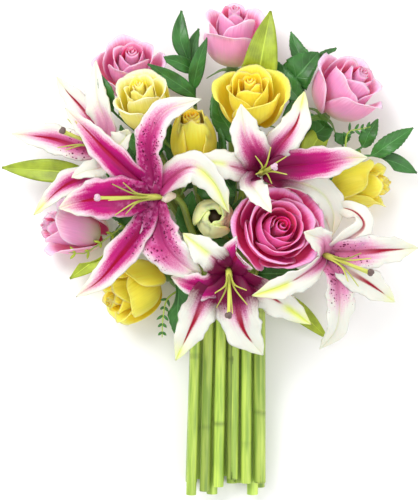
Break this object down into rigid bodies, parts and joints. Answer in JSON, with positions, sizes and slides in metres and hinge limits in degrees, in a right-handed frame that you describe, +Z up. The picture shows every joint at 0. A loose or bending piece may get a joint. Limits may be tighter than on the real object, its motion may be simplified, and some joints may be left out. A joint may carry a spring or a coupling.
{
  "type": "rose and lily bouquet",
  "caption": "Hand-tied bunch of roses and pink oriental lilies with an opening lily bud, leafy greenery and bare cut stems, lying on its side.",
  "frame": {"origin": "centre of the bounding box's bottom face, on the surface that the bunch lies on", "axes": "+Y along the bunch from the cut stems to the flowers, +Z up, away from the surface, with the flowers' faces looking up; +X across the bunch, to the right seen from above"},
  "size_m": [0.3887, 0.4621, 0.1525],
  "materials": {
    "petals_pink": "matte",
    "petals_hot_pink": "matte",
    "petals_pale_yellow": "matte",
    "petals_yellow": "matte",
    "petals_golden": "matte",
    "lily_tepals": "matte",
    "lily_bud": "matte",
    "lily_green": "satin",
    "rose_green": "satin",
    "filaments": "satin",
    "dark_leaf": "satin",
    "tie_band": "matte"
  },
  "bodies": {
    "root": {"rose_1": "petals_pink", "rose_2": "petals_pink", "rose_3": "petals_pink", "rose_4": "petals_pink", "rose_5": "petals_hot_pink", "rose_6": "petals_pale_yellow", "rose_7": "petals_yellow", "rose_8": "petals_golden", "rose_9": "petals_yellow", "rose_10": "petals_yellow", "lily_1": "lily_tepals", "lily_2": "lily_tepals", "lily_3": "lily_tepals", "lily_4": "lily_tepals", "lily_5": "lily_tepals", "lily_bud": "lily_bud", "stem_lily_1": "lily_green", "stem_lily_2": "lily_green", "stem_lily_3": "lily_green", "stem_rose_1": "rose_green", "stem_rose_2": "rose_green", "stem_rose_3": "rose_green", "stem_rose_4": "rose_green", "stem_rose_5": "rose_green", "stem_rose_6": "rose_green", "stem_rose_7": "rose_green", "stem_rose_8": "rose_green", "stem_rose_9": "rose_green", "stem_rose_10": "rose_green", "filaments_lily_1": "filaments", "filaments_lily_2": "filaments", "filaments_lily_3": "filaments", "filaments_lily_4": "filaments", "filaments_lily_5": "filaments", "greens_1": "dark_leaf", "greens_2": "dark_leaf", "greens_3": "dark_leaf", "greens_4": "dark_leaf", "tie_band": "tie_band"}
  },
  "joints": []
}
